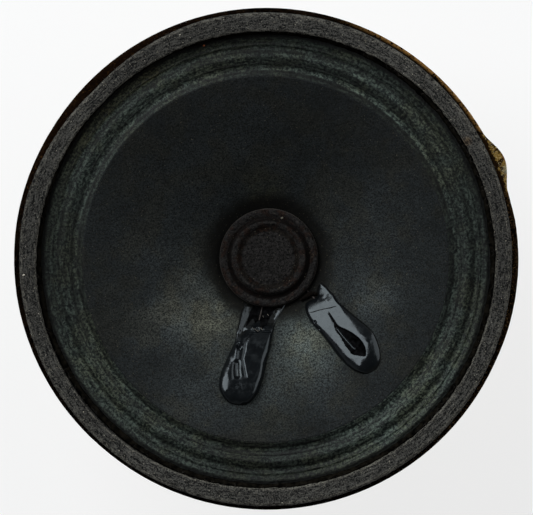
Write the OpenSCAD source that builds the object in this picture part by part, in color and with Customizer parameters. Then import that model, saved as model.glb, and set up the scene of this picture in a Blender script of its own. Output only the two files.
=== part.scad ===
// Miniature moving-coil loudspeaker, lying on its magnet with the cone facing up.
// The axis of the voice coil is Z, the rear face of the yoke is the plane z = 0,
// the terminal board is on the -Y side and the yoke's legs stand on the X axis.

/* [Frame] */
// Outside diameter of the stamped rim
rim_d = 66; // [62:1:72]
// Thickness of the frame's sheet steel
sheet_t = 0.8; // [0.6:0.1:1]
// Distance from the top plate to the top of the flange
frame_h = 12.15; // [12:0.05:14]
// Width of the flat flange, from the rim to the basket's mouth
flange_w = 3.7; // [3.2:0.1:4.5]
// Height of the lip turned down round the rim
lip_h = 1.9; // [1.5:0.1:2.5]
// Height of the spider's shelf above the frame's floor
shelf_rise = 1.6; // [1.5:0.1:1.8]
// Width of the spider's shelf
shelf_w = 2.4; // [2:0.1:3]
// Depth of the upright wall below the flange
mouth_depth = 3.1; // [2.6:0.1:3.6]
// Width of the struts between the windows
strut_w = 9; // [6:0.5:12]
// Corner radius of the windows
window_corner = 1.4; // [0.8:0.1:1.8]
// How far the locating ear stands out of the rim
ear_h = 1; // [0.6:0.1:1.4]
// Width of the ear at its root
ear_w = 9; // [7:0.5:12]

/* [Cone and surround] */
// Thickness of the pressed paper
paper_t = 0.35; // [0.25:0.05:0.5]
// Drop from the flange to the cone's neck
cone_depth = 8.8; // [8:0.1:9]
// Curvature of the cone's wall: 0 is a straight cone
flare = 0.35; // [0:0.05:0.45]
// Width of the corrugated surround
surround_w = 5.2; // [4.6:0.1:6]
// Depth of the corrugations in the surround
wave_depth = 0.55; // [0.3:0.05:0.7]
// Number of corrugations in the surround
waves = 2; // [1:1:3]

/* [Gasket] */
// Width of the felt ring
gasket_w = 2.3; // [2:0.1:2.8]
// Thickness of the felt ring
gasket_t = 1.6; // [1:0.1:2.5]
// Bare flange outside the felt ring
gasket_inset = 0.7; // [0.4:0.1:1]

/* [Voice coil] */
// Outside diameter of the coil former
former_d = 10; // [9.6:0.1:10.4]
// Wall of the coil former
former_t = 0.25; // [0.15:0.05:0.3]
// Length of the former below the winding
former_tail = 0.8; // [0.4:0.1:1.2]
// Length of the winding
winding_h = 4; // [3.2:0.1:4.4]
// Thickness of the winding
winding_t = 0.4; // [0.2:0.05:0.45]
// Furthest that the cone moves out of rest, each way
travel = 1; // [0.6:0.1:1.1]

/* [Dust cap] */
// Diameter over the cap's flange
cap_d = 13.2; // [12.4:0.1:13.8]
// Thickness of the pressed felt
cap_t = 0.65; // [0.5:0.05:0.8]
// Diameter of the raised middle
crown_d = 10.6; // [10.2:0.1:11]
// Height of the raised middle above the flange
crown_h = 0.5; // [0.3:0.05:0.8]
// Diameter of the dish in the raised middle
dish_d = 8; // [6:0.1:8.4]
// Depth of the dish
dish_h = 0.2; // [0.1:0.05:0.3]

/* [Spider] */
// Thickness of the impregnated cloth
spider_t = 0.3; // [0.2:0.05:0.4]
// Height of the spider's corrugations, each way
spider_amp = 0.4; // [0.2:0.05:0.45]
// Number of corrugations in the spider
spider_waves = 3; // [2:1:4]

/* [Magnet system] */
// Length of the yoke between the outsides of its legs
yoke_l = 26.6; // [26:0.1:28]
// Width of the yoke's strip
yoke_w = 16; // [13:0.5:18]
// Thickness of the yoke's strip
yoke_t = 2.5; // [2:0.1:2.8]
// Diameter of the magnet
magnet_d = 12; // [11.4:0.1:12.6]
// Height of the magnet
magnet_h = 7; // [6:0.1:9]
// Thickness of the top plate
plate_t = 2.5; // [2:0.1:2.8]
// Clearance between the coil and the metal on each side of it
gap_clear = 0.3; // [0.25:0.05:0.4]
// Width of the tenons that hold the yoke to the frame
tenon_w = 7; // [5:0.5:8]
// Height of the staked heads above the frame's floor
stake_h = 0.5; // [0.3:0.1:0.6]

/* [Terminals] */
// Length of the terminal board
board_l = 19; // [18.5:0.5:21]
// Depth of the terminal board
board_d = 6.6; // [6:0.1:7.4]
// Thickness of the terminal board
board_t = 1; // [0.8:0.1:1.4]
// Distance between the two tags
tag_pitch = 14; // [13:0.5:14.5]
// Thickness of the tags
tag_t = 0.4; // [0.3:0.05:0.5]
// Width of the tags
tag_w = 2.6; // [2.4:0.1:3]
// Reach of the tags past the board
tag_reach = 4.6; // [3.8:0.1:5]
// Diameter of the hole for the supply wire
tag_hole_d = 1.5; // [1:0.1:1.6]
// Shank diameter of the hollow eyelets in the tags
eyelet_d = 1.6; // [1.4:0.1:1.8]
// Shank diameter of the rivet that holds the board
rivet_d = 2.4; // [2:0.1:2.8]

/* [Leads] */
// Diameter of the tinsel leads
tinsel_d = 0.7; // [0.6:0.05:0.8]
// Diameter of the coil's own wire
wire_d = 0.2; // [0.14:0.02:0.22]
// Length of the tinsel that lies soldered on the cone's front
splice_l = 6; // [4.5:0.1:6.8]
// Greatest thickness of the adhesive over the soldered ends
adhesive_h = 1.3; // [1:0.1:1.6]

/* [Hidden] */
$fn = 96;

// Small fits and edges
fit = 0.05;          // radial clearance of a pin in its hole
slot_fit = 0.1;      // clearance round a tenon in its slot
glue_gap = 0.25;     // room for adhesive and the coil's wire round the former
edge = 0.25;         // broken edge on turned and stamped parts
bend_r = 0.6;        // radius of the frame's bends
bend_steps = 4;      // chords in each of those bends
through = 1;         // how far a cutting shape runs past what it cuts
neck_room = 1;       // height of the cone's neck above the spider's inner edge

// Pole piece: the coil former still clears its tapered foot at the lower end of the travel
flare_h = 0.9;       // height of the taper
coil_room = 0.45;    // room left between the former and the taper
pole_h = (plate_t + winding_h) / 2 + former_tail + travel + coil_room + flare_h;

// Levels, from the rear face up
magnet_top = yoke_t + magnet_h;
plate_top = magnet_top + pole_h;
plate_bottom = plate_top - plate_t;
floor_top = plate_top + sheet_t;
shelf_top = floor_top + shelf_rise;
flange_top = plate_top + frame_h;
paper_top = flange_top + paper_t;
gasket_top = paper_top + gasket_t;
neck_z = paper_top - cone_depth;
winding_mid = plate_top - plate_t / 2;
winding_top = winding_mid + winding_h / 2;
winding_bottom = winding_mid - winding_h / 2;
former_bottom = winding_bottom - former_tail;

// Radii, from the axis out
former_r = former_d / 2;
former_in = former_r - former_t;
pole_r = former_in - gap_clear;
neck_r = former_r + glue_gap;
gap_r = former_r + winding_t + gap_clear;
throat = 1.3;                                // how far the frame's floor stands back from the gap
floor_hole = gap_r + throat;
tenon_t = yoke_t - 0.5;                      // a shoulder 0.5 wide stops the plate
tenon_x = yoke_l / 2 - yoke_t + tenon_t / 2;
head_l = tenon_w + 0.6;                      // staking spreads the tenon's end to this length
head_t = tenon_t + 0.4;                      // and to this thickness
floor_margin = 1;                            // sheet left outside the staked heads
floor_r = norm([tenon_x + head_t / 2, head_l / 2]) + floor_margin;
plate_r = floor_r - 0.2;
riser_lean = 0.8;                            // how far the riser under the shelf leans out
shelf_in = floor_r + riser_lean;
shelf_out = shelf_in + shelf_w;
rim_r = rim_d / 2;
mouth_r = rim_r - flange_w;
mouth_lean = 0.9;                            // how far the wall below the flange leans out
wall_out = mouth_r - mouth_lean;
edge_r = mouth_r - surround_w;
gasket_out = rim_r - gasket_inset;
gasket_in = gasket_out - gasket_w;
surround_out = gasket_out - 0.1;
spider_out = shelf_out - 0.3;
cap_r = cap_d / 2;

// Curves of revolution
cone_steps = 24;
wave_steps = 12;
spider_flat = 1.1;                           // flat ring at each edge of the spider

// Windows in the frame's wall, and the ear on its lip
window_margin = 0.9;                         // wall left beyond each end of a window
window_in = shelf_out + window_margin;
window_out = wall_out - window_margin;
window_steps = 8;
corner_steps = 4;
ear_angle = 6.5;
ear_root = 0.06;                             // how deep the ear's ends start inside the lip
ear_set = 0.12;                              // how far the ear stays within the lip's height
ear_steps = 20;

// Terminal board, tab and tags
board_gap = 1.1;                             // between the shelf and the board
board_y = -(shelf_out + board_gap);          // inner edge of the board
board_end_y = board_y - board_d;
board_top = shelf_top - sheet_t;             // the board hangs under the tab
head_rim = 0.55;                             // how far rivet heads overhang their shanks
head_h = 0.3;
tab_margin = 0.8;                            // sheet left round the rivet's head at the tab's end
rivet_y = board_y - board_d / 2;
tab_side = 3;                                // sheet on each side of the rivet's shank
tab_w = rivet_d + 2 * tab_side;
tab_end_y = rivet_y - rivet_d / 2 - head_rim - tab_margin;
tag_x = tag_pitch / 2;
tag_setback = 0.5;                           // from the board's inner edge to the tag
tag_inner_y = board_y - tag_setback;
tag_hole_y = board_end_y - tag_reach + tag_w / 2;
eyelet_margin = 0.9;                         // from the board's outer edge to the eyelet's head
eyelet_y = board_end_y + eyelet_d / 2 + head_rim + eyelet_margin;
eyelet_wall = 0.3;
solder_r = 0.9;
solder_h = 0.7;
solder_y = tag_inner_y - solder_r - 0.1;

// Soldered ends on the cone: radii at which each adhesive pool starts, narrows and ends
start_left = 7.2;
waist_left = 11.3;
end_left = 17.1;
start_right = 8;
waist_right = 11.6;
end_right = 17.6;
pool_left = [[start_left, 247], [waist_left, 243.5], [end_left, 241.75]];
pool_right = [[start_right, 304], [waist_right, 300], [end_right, 298.25]];

// Half widths of the pools at the same places, and their heights as shares of adhesive_h
start_half_left = 2.7;
waist_half_left = 2.25;
end_half_left = 2.85;
start_half_right = 2;
waist_half_right = 2.4;
end_half_right = 2.75;
pool_widths_left = [start_half_left, waist_half_left, end_half_left];
pool_widths_right = [start_half_right, waist_half_right, end_half_right];
pool_heights = [0.55, 0.8, 1];
hole_inset = 1.4;                            // from the pool's outer end to the tinsel's hole
splice_d = tinsel_d + 0.1;                   // solder thickens the tinsel by this much
splice_hole_d = splice_d + 0.2;
splice_drop = 0.5;                           // how far the soldered end shows behind the cone
splice_arch = [[0, 0.1], [0.25, 0.5], [0.8, 0.62], [1.5, 0.5]];  // distance inward and height
skin = 0.08;                                 // adhesive between the leads and the paper

// Route of the tinsel leads: up from the solder, and on to the soldered end behind the cone
lead_rise = [[0, 0, 0], [0, 0, 0.8], [0.3, -0.6, 2], [0.8, -1, 3.2], [1.3, -0.4, 4.2], [1.6, 1, 4.7]];
lead_tail = [[1.3, -2.8, -1.7], [0.7, -1.2, -2.1], [0.1, -0.2, -1.5], [0, 0, -0.8], [0, 0, 0]];

// Small helpers
function lerp(a, b, t) = a + (b - a) * t;
function polar(r, a) = [r * cos(a), r * sin(a)];
function unit(v) = v / norm(v);
function reversed(v) = [for (i = [len(v) - 1:-1:0]) v[i]];
function signed(a) = a - 360 * round(a / 360);

// Arc that rounds the corner b between the points a and c
function corner(a, b, c, r, n) =
    let (u = unit(a - b), w = unit(c - b), half = acos(u * w) / 2,
         centre = b + unit(u + w) * r / sin(half),
         from = b + u * r / tan(half) - centre, to = b + w * r / tan(half) - centre,
         start = atan2(from.y, from.x), turn = signed(atan2(to.y, to.x) - start))
    [for (i = [0:n]) centre + polar(r, start + turn * i / n)];

// Path v with all its inner corners rounded to radius r
function rounded(v, r, n = bend_steps) = [
    v[0],
    for (i = [1:len(v) - 2]) each corner(v[i - 1], v[i], v[i + 1], r, n),
    v[len(v) - 1]];

// Closed section of a sheet of thickness t that lies on the right of the path v
function along(v, i) = unit(v[min(i + 1, len(v) - 1)] - v[max(i - 1, 0)]);
function sheet_section(v, t) =
    concat(v, reversed([for (i = [0:len(v) - 1]) let (d = along(v, i)) v[i] + [d.y, -d.x] * t]));

// Closed section of a pressed sheet of thickness t below the upper line v
function pressed_section(v, t) = concat(v, reversed([for (p = v) p - [0, t]]));

// Upper line of the cone, the surround and the spider
function cone_z(r) =
    let (s = (r - neck_r) / (edge_r - neck_r)) lerp(neck_z, paper_top, (1 + flare) * s - flare * s * s);
cone_line = [for (i = [0:cone_steps]) let (r = lerp(neck_r, edge_r, i / cone_steps)) [r, cone_z(r)]];
surround_line = concat(
    [for (i = [0:wave_steps * waves]) let (s = i / (wave_steps * waves))
        [edge_r + surround_w * s, paper_top - wave_depth * (1 - cos(360 * waves * s)) / 2]],
    [[surround_out, paper_top]]);
spider_z = shelf_top + spider_t;
spider_in_z = neck_z - neck_room;            // the spider is flat at these sizes and cupped at others
spider_line = concat(
    [[neck_r, spider_in_z]],
    [for (i = [0:wave_steps * spider_waves]) let (s = i / (wave_steps * spider_waves))
        [lerp(neck_r + spider_flat, spider_out - spider_flat, s),
         lerp(spider_in_z, spider_z, s) - spider_amp * sin(360 * spider_waves * s)]],
    [[spider_out, spider_z]]);

// Point on the cone's front face, raised by h
function on_cone(p, h) = [p.x, p.y, cone_z(norm(p)) + h];

// Underside of the cap: its flange clears the coil's wires where they cross the cone
cap_z = cone_z(cap_r) + wire_d + 2 * fit;

// Tube of diameter d along the points v, as one closed polyhedron
module tube(v, d, sides = 8) {
    count = len(v);
    last = (count - 1) * sides;
    step = 360 / sides;
    function ring(i) =
        let (w = unit(v[min(i + 1, count - 1)] - v[max(i - 1, 0)]),
             side = unit(cross(w, abs(w.x) < 0.8 ? [1, 0, 0] : [0, 1, 0])), up = cross(w, side))
        [for (k = [0:sides - 1]) v[i] + d / 2 * (cos(k * step) * side + sin(k * step) * up)];
    points = [for (i = [0:count - 1]) each ring(i)];
    walls = [for (i = [0:count - 2], k = [0:sides - 1])
        let (a = i * sides + k, b = i * sides + (k + 1) % sides)
        each [[a, a + sides, b], [b, a + sides, b + sides]]];
    ends = [for (k = [1:sides - 2]) each [[0, k, k + 1], [last, last + k + 1, last + k]]];
    polyhedron(points, concat(walls, ends));
}

// Disc of radius r and height h with both edges broken
module turned(r, h) {
    rotate_extrude() polygon([[0, 0], [r - edge, 0], [r, edge], [r, h - edge], [r - edge, h], [0, h]]);
}

// Outline of one window, its corners rounded
module window_outline() {
    half = 45 - asin(strut_w / 2 / lerp(window_in, window_out, 0.5));
    inner = window_in + window_corner;
    outer = window_out - window_corner;
    inner_half = half - asin(window_corner / inner);
    outer_half = half - asin(window_corner / outer);
    turn = 90 / corner_steps;
    side = concat(
        [for (i = [0:window_steps]) polar(window_out, outer_half * i / window_steps)],
        [for (i = [1:corner_steps]) polar(outer, outer_half) + polar(window_corner, outer_half + turn * i)],
        [for (i = [0:corner_steps - 1])
            polar(inner, inner_half) + polar(window_corner, half + 90 + turn * i)],
        [for (i = [window_steps:-1:0]) polar(window_in, inner_half * i / window_steps)]);
    polygon(concat(side, [for (i = [len(side) - 2:-1:1]) [side[i].x, -side[i].y]]));
}

// Outline of the ear: a lobe that swells out of the lip and runs back into it
module ear_outline() {
    half = ear_w / 2 / rim_r * 180 / PI;
    polygon(concat(
        [for (i = [0:ear_steps]) let (s = 2 * i / ear_steps - 1)
            polar(rim_r - ear_root + (ear_h + ear_root) * (1 + cos(180 * s)) / 2, ear_angle + half * s)],
        [for (s = [1, 0, -1]) polar(rim_r - sheet_t / 2, ear_angle + half * s)]));
}

// Slots for the yoke's two tenons
module tenon_slots() {
    for (side = [-1, 1])
        translate([side * tenon_x, 0])
            square([tenon_t + 2 * slot_fit, tenon_w + 2 * slot_fit], center = true);
}

// Basket: floor, shelf for the spider, sloping wall, mouth, flange and turned-down lip
module basket() {
    line = rounded([
        [floor_hole, floor_top], [floor_r, floor_top], [shelf_in, shelf_top], [shelf_out, shelf_top],
        [wall_out, flange_top - mouth_depth], [mouth_r, flange_top], [rim_r, flange_top],
        [rim_r, flange_top - lip_h]], bend_r);
    difference() {
        union() {
            rotate_extrude() polygon(sheet_section(line, sheet_t));
            translate([0, 0, flange_top - lip_h + ear_set])
                linear_extrude(lip_h - 2 * ear_set) ear_outline();
        }
        for (side = [0:3])
            rotate([0, 0, 90 * side]) translate([0, 0, shelf_top - sheet_t - through])
                linear_extrude(mouth_depth + frame_h) window_outline();
        translate([0, 0, plate_top - through]) linear_extrude(sheet_t + 2 * through) tenon_slots();
    }
}

// Tab under which the terminal board is riveted
module terminal_tab() {
    difference() {
        translate([-tab_w / 2, tab_end_y, board_top])
            cube([tab_w, -shelf_out + bend_r - tab_end_y, sheet_t]);
        translate([0, rivet_y, board_top - through])
            cylinder(h = sheet_t + 2 * through, r = rivet_d / 2 + fit);
    }
}

module frame() {
    color("darkkhaki") union() {
        basket();
        terminal_tab();
    }
}

module gasket() {
    crest = 0.3;             // radius of the ring's upper corners
    color("dimgray") translate([0, 0, paper_top]) rotate_extrude()
        polygon(concat([[gasket_in, 0], [gasket_out, 0]],
            rounded([[gasket_out, crest], [gasket_out, gasket_t], [gasket_in, gasket_t], [gasket_in, crest]],
                    crest)));
}

module cone() {
    color("darkslategray") difference() {
        rotate_extrude() polygon(pressed_section(cone_line, paper_t));
        for (pool = [pool_left, pool_right])
            translate(pool_point(pool, 0)) translate([0, 0, neck_z])
                cylinder(h = cone_depth, r = splice_hole_d / 2);
    }
}

module surround() {
    color("darkslategray") rotate_extrude() polygon(pressed_section(surround_line, paper_t));
}

module dust_cap() {
    inner = crown_d / 2 - cap_t;
    top = cap_t + crown_h;
    slope = 0.4;             // width of the dish's sloping wall
    soft = 0.12;             // radius of the felt's edges
    color([0.2, 0.18, 0.17]) translate([0, 0, cap_z]) rotate_extrude()
        polygon(concat(
            rounded([[0, top - dish_h], [dish_d / 2 - slope, top - dish_h], [dish_d / 2, top],
                     [crown_d / 2, top], [crown_d / 2, cap_t], [cap_d / 2, cap_t], [cap_d / 2, 0]], soft),
            [[inner, 0], [inner, crown_h], [0, crown_h]]));
}

module coil_former() {
    color("burlywood") translate([0, 0, former_bottom]) difference() {
        cylinder(h = cap_z - former_bottom, r = former_r);
        translate([0, 0, -through]) cylinder(h = cap_z - former_bottom + 2 * through, r = former_in);
    }
}

module coil_winding() {
    color("peru") translate([0, 0, winding_bottom]) difference() {
        cylinder(h = winding_h, r = former_r + winding_t);
        translate([0, 0, -through]) cylinder(h = winding_h + 2 * through, r = former_r);
    }
}

// Adhesive between the former and the cone, filling the room under the cap's flange
module neck_adhesive() {
    color([0.12, 0.1, 0.08]) rotate_extrude()
        polygon(concat([[former_r, neck_z - paper_t], [neck_r, neck_z - paper_t]],
                       [for (p = cone_line) if (p.x < cap_r) p],
                       [[cap_r, cone_z(cap_r)], [cap_r, cap_z], [former_r, cap_z]]));
}

// Adhesive in the joint between the former and the spider
module spider_adhesive() {
    fillet = 0.3;
    color([0.45, 0.28, 0.1]) rotate_extrude()
        polygon([[former_r, spider_in_z - spider_t - fillet], [neck_r, spider_in_z - spider_t],
                 [neck_r, spider_in_z], [former_r, spider_in_z + fillet]]);
}

module spider() {
    color("sienna") rotate_extrude() polygon(pressed_section(spider_line, spider_t));
}

module top_plate() {
    color("silver") difference() {
        translate([0, 0, plate_bottom]) turned(plate_r, plate_t);
        translate([0, 0, plate_bottom - through]) linear_extrude(plate_t + 2 * through) {
            circle(r = gap_r);
            tenon_slots();
        }
    }
}

module pole_piece() {
    foot = magnet_d / 2 - edge;
    color("gray") translate([0, 0, magnet_top]) rotate_extrude()
        polygon([[0, 0], [foot, 0], [pole_r, flare_h], [pole_r, pole_h - edge],
                 [pole_r - edge, pole_h], [0, pole_h]]);
}

module magnet() {
    color("slategray") translate([0, 0, yoke_t]) turned(magnet_d / 2, magnet_h);
}

// Strip bent into a U, with a tenon on each leg staked over the frame's floor
module yoke() {
    end = yoke_l / 2;
    bend = yoke_t + 0.6;
    steps = 6;
    line = rounded([[end, plate_bottom], [end, 0], [-end, 0], [-end, plate_bottom]], bend, steps);
    color("lightgray") union() {
        rotate([90, 0, 0]) linear_extrude(yoke_w, center = true) polygon(sheet_section(line, yoke_t));
        for (side = [-1, 1]) translate([side * tenon_x, 0, 0]) {
            translate([-tenon_t / 2, -tenon_w / 2, plate_bottom - edge])
                cube([tenon_t, tenon_w, floor_top + stake_h - plate_bottom + edge]);
            translate([-head_t / 2, -head_l / 2, floor_top]) cube([head_t, head_l, stake_h]);
        }
    }
}

module terminal_board() {
    color("saddlebrown") translate([0, 0, board_top - board_t]) linear_extrude(board_t) difference() {
        translate([-board_l / 2, board_end_y]) square([board_l, board_d]);
        for (side = [-1, 1]) translate([side * tag_x, eyelet_y]) circle(r = eyelet_d / 2 + fit);
        translate([0, rivet_y]) circle(r = rivet_d / 2 + fit);
    }
}

// Rivet with a shank of diameter d through a stack of thickness grip, from z = 0 up
module rivet(d, grip, bore) {
    rim = d / 2 + head_rim;
    rotate_extrude() polygon([
        [bore / 2, -head_h], [rim - edge / 2, -head_h], [rim, -edge / 2], [rim, 0], [d / 2, 0],
        [d / 2, grip], [rim, grip], [rim, grip + edge / 2], [rim - edge / 2, grip + head_h],
        [bore / 2, grip + head_h]]);
}

module board_rivet() {
    color("silver") translate([0, rivet_y, board_top - board_t]) rivet(rivet_d, board_t + sheet_t, 0);
}

module tag_eyelets() {
    color("gold") for (side = [-1, 1])
        translate([side * tag_x, eyelet_y, board_top - board_t])
            rivet(eyelet_d, board_t + tag_t, eyelet_d - 2 * eyelet_wall);
}

// Solder tag: a round-ended strip with a hole for its eyelet and one for the supply wire
module terminal_tag(side) {
    color("lightgoldenrodyellow") translate([side * tag_x, 0, board_top])
        linear_extrude(tag_t) difference() {
            union() {
                translate([0, tag_hole_y]) circle(r = tag_w / 2);
                translate([-tag_w / 2, tag_hole_y]) square([tag_w, tag_inner_y - tag_hole_y]);
            }
            translate([0, tag_hole_y]) circle(r = tag_hole_d / 2);
            translate([0, eyelet_y]) circle(r = eyelet_d / 2 + fit);
        }
}

module tag_solder() {
    shape = [[0, 0], [solder_r, 0], [solder_r * 0.9, solder_h * 0.45], [solder_r * 0.65, solder_h * 0.85],
             [tinsel_d / 2 + 0.05, solder_h], [0, solder_h]];
    color("whitesmoke") for (side = [-1, 1])
        translate([side * tag_x, solder_y, board_top + tag_t]) rotate_extrude() polygon(shape);
}

// Plan position on the line of an adhesive pool, d inward from the tinsel's hole
function pool_point(pool, d) =
    let (inner = polar(pool[0].x, pool[0].y), outer = polar(pool[2].x, pool[2].y))
    outer + unit(inner - outer) * (hole_inset + d);

// Tinsel lead from the solder on its tag up to the soldered end behind the cone
module tinsel_lead(side, pool) {
    from = [side * tag_x, solder_y, board_top + tag_t + solder_h];
    to = on_cone(pool_point(pool, 0), -paper_t - splice_drop);
    rise = [for (p = lead_rise) from + [side * p.x, p.y, p.z]];
    tail = [for (p = lead_tail) to + [side * p.x, p.y, p.z]];
    color("orange") tube(concat(rise, tail), tinsel_d);
}

// End of the tinsel, brought through the cone and soldered flat along its front
module lead_splice(pool) {
    steps = 4;
    foot = on_cone(pool_point(pool, 0), -paper_t - splice_drop);
    bend = [for (p = splice_arch) on_cone(pool_point(pool, p.x), p.y)];
    rest = [for (i = [1:steps])
        on_cone(pool_point(pool, lerp(splice_arch[3].x, splice_l, i / steps)), splice_d / 2 + skin)];
    color("chocolate") tube(concat([foot], bend, rest), splice_d);
}

// Coil wire from the winding, up the former, through the adhesive and along the cone to the splice
module coil_lead(pool) {
    way = unit(polar(pool[0].x, pool[0].y));
    foot = way * (former_r + wire_d / 2 + fit / 2);
    landing = way * (neck_r + wire_d);
    join = pool_point(pool, splice_l + wire_d);
    rest = wire_d / 2 + fit;
    steps = 8;
    climb = [for (z = [winding_top, neck_z, cone_z(norm(landing)) + rest]) [foot.x, foot.y, z]];
    run = [for (i = [1:steps]) on_cone(lerp(landing, join, i / steps), rest)];
    color("orangered") tube(concat(climb, run), wire_d);
}

// Pool of adhesive over the soldered end, resting on the cone's front face
module lead_adhesive(pool, widths) {
    module drop(i) {
        h = adhesive_h * pool_heights[i];
        r = (widths[i] * widths[i] + h * h) / (2 * h);
        translate(on_cone(polar(pool[i].x, pool[i].y), h - r)) sphere(r = r, $fn = 32);
    }
    color([0.1, 0.1, 0.12]) difference() {
        for (i = [0, 1]) hull() {
            drop(i);
            drop(i + 1);
        }
        rotate_extrude() polygon(concat(cone_line, [[edge_r, 0], [0, 0], [0, neck_z]]));
        cylinder(h = gasket_top, r = cap_r + fit);
    }
}

frame();
gasket();
cone();
surround();
dust_cap();
coil_former();
coil_winding();
neck_adhesive();
spider_adhesive();
spider();
top_plate();
pole_piece();
magnet();
yoke();
terminal_board();
board_rivet();
terminal_tag(-1);  // terminal_tag_left
terminal_tag(1);  // terminal_tag_right
tag_eyelets();
tag_solder();
tinsel_lead(-1, pool_left);  // tinsel_lead_left
tinsel_lead(1, pool_right);  // tinsel_lead_right
lead_splice(pool_left);  // lead_splice_left
lead_splice(pool_right);  // lead_splice_right
coil_lead(pool_left);  // coil_lead_left
coil_lead(pool_right);  // coil_lead_right
lead_adhesive(pool_left, pool_widths_left);  // lead_adhesive_left
lead_adhesive(pool_right, pool_widths_right);  // lead_adhesive_right
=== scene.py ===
# Miniature moving-coil loudspeaker: finishes, pressed and fibrous pieces, light and camera.
# Lengths are written in millimetres and scaled by MM; the frame and its axes are those of the CAD model.
import math

import bmesh
import bpy
import numpy as np
from mathutils import Matrix, Vector, noise


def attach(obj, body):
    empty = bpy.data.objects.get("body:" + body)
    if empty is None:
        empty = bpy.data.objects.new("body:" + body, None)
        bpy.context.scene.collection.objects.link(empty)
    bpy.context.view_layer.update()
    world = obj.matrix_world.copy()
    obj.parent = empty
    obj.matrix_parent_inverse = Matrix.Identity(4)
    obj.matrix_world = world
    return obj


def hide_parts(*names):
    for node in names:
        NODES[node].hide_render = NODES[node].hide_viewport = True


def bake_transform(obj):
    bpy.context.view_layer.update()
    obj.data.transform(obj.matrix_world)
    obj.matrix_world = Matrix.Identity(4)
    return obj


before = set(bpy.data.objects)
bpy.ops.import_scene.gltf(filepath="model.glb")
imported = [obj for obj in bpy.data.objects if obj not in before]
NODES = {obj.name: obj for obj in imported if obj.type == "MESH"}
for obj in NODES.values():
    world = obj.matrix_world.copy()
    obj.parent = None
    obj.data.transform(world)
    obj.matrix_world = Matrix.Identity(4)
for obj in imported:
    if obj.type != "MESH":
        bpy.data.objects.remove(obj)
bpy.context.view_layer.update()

MM = 0.001

# Sizes repeated from the model
RIM_R = 33.0
NECK_R = 5.25
NECK_Z = 19.6
EDGE_R = 24.1
PAPER_TOP = 28.4
PAPER_T = 0.35
CONE_DEPTH = 8.8
FLARE = 0.35
MOUTH_R = 29.3
SURROUND_OUT = 32.2
GASKET_IN = 30.0
GASKET_TOP = 30.0
CAP_R = 6.6
CAP_Z = 20.74
TAG_X = 7.0
SOLDER_Y = -20.34
SOLDER_Z = 17.9
SPIDER_Z = 18.6
SPIDER_OUT = 17.44

# Picture directions in the plane of the rim
TURN = math.radians(16.5)
RIGHT = Vector((math.cos(TURN), -math.sin(TURN), 0))
UP = Vector((math.sin(TURN), math.cos(TURN), 0))

# Camera: the point that it looks at (right, up, height), its lean from the axis (right, up), reach and lens
AIM = (0.155, 0.25, 27.5)
LEAN = (0.0667, 0.0299)
REACH = 402.5
LENS = 206.9


def photo_angle(degrees):
    """Angle about the axis, in radians, of a direction given anticlockwise from the picture's right."""
    return math.radians(degrees) - TURN


# ---------------------------------------------------------------- camera

def make_camera():
    aim = Vector((0, 0, AIM[2] * MM)) + RIGHT * AIM[0] * MM + UP * AIM[1] * MM
    back = (Vector((0, 0, 1)) + RIGHT * LEAN[0] + UP * LEAN[1]).normalized()
    right = UP.cross(back).normalized()
    up = back.cross(right)
    data = bpy.data.cameras.new("camera")
    data.sensor_width = 36
    data.lens = LENS
    data.clip_start, data.clip_end = 0.01, 20
    camera = bpy.data.objects.new("camera", data)
    bpy.context.scene.collection.objects.link(camera)
    spot = aim + back * REACH * MM
    camera.matrix_world = Matrix((
        (right.x, up.x, back.x, spot.x),
        (right.y, up.y, back.y, spot.y),
        (right.z, up.z, back.z, spot.z),
        (0, 0, 0, 1)))
    bpy.context.scene.camera = camera


# ---------------------------------------------------------------- materials

def put(tree, socket, value):
    """Links the socket to an output, or sets it to a plain value."""
    if isinstance(value, bpy.types.NodeSocket):
        tree.links.new(value, socket)
    else:
        socket.default_value = value


def add_node(tree, kind, *values, **settings):
    """New node with these settings, whose first sockets take these numbers or links."""
    node = tree.nodes.new("ShaderNode" + kind)
    for key, value in settings.items():
        setattr(node, key, value)
    for socket, value in zip(node.inputs, values):
        put(tree, socket, value)
    return node


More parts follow.
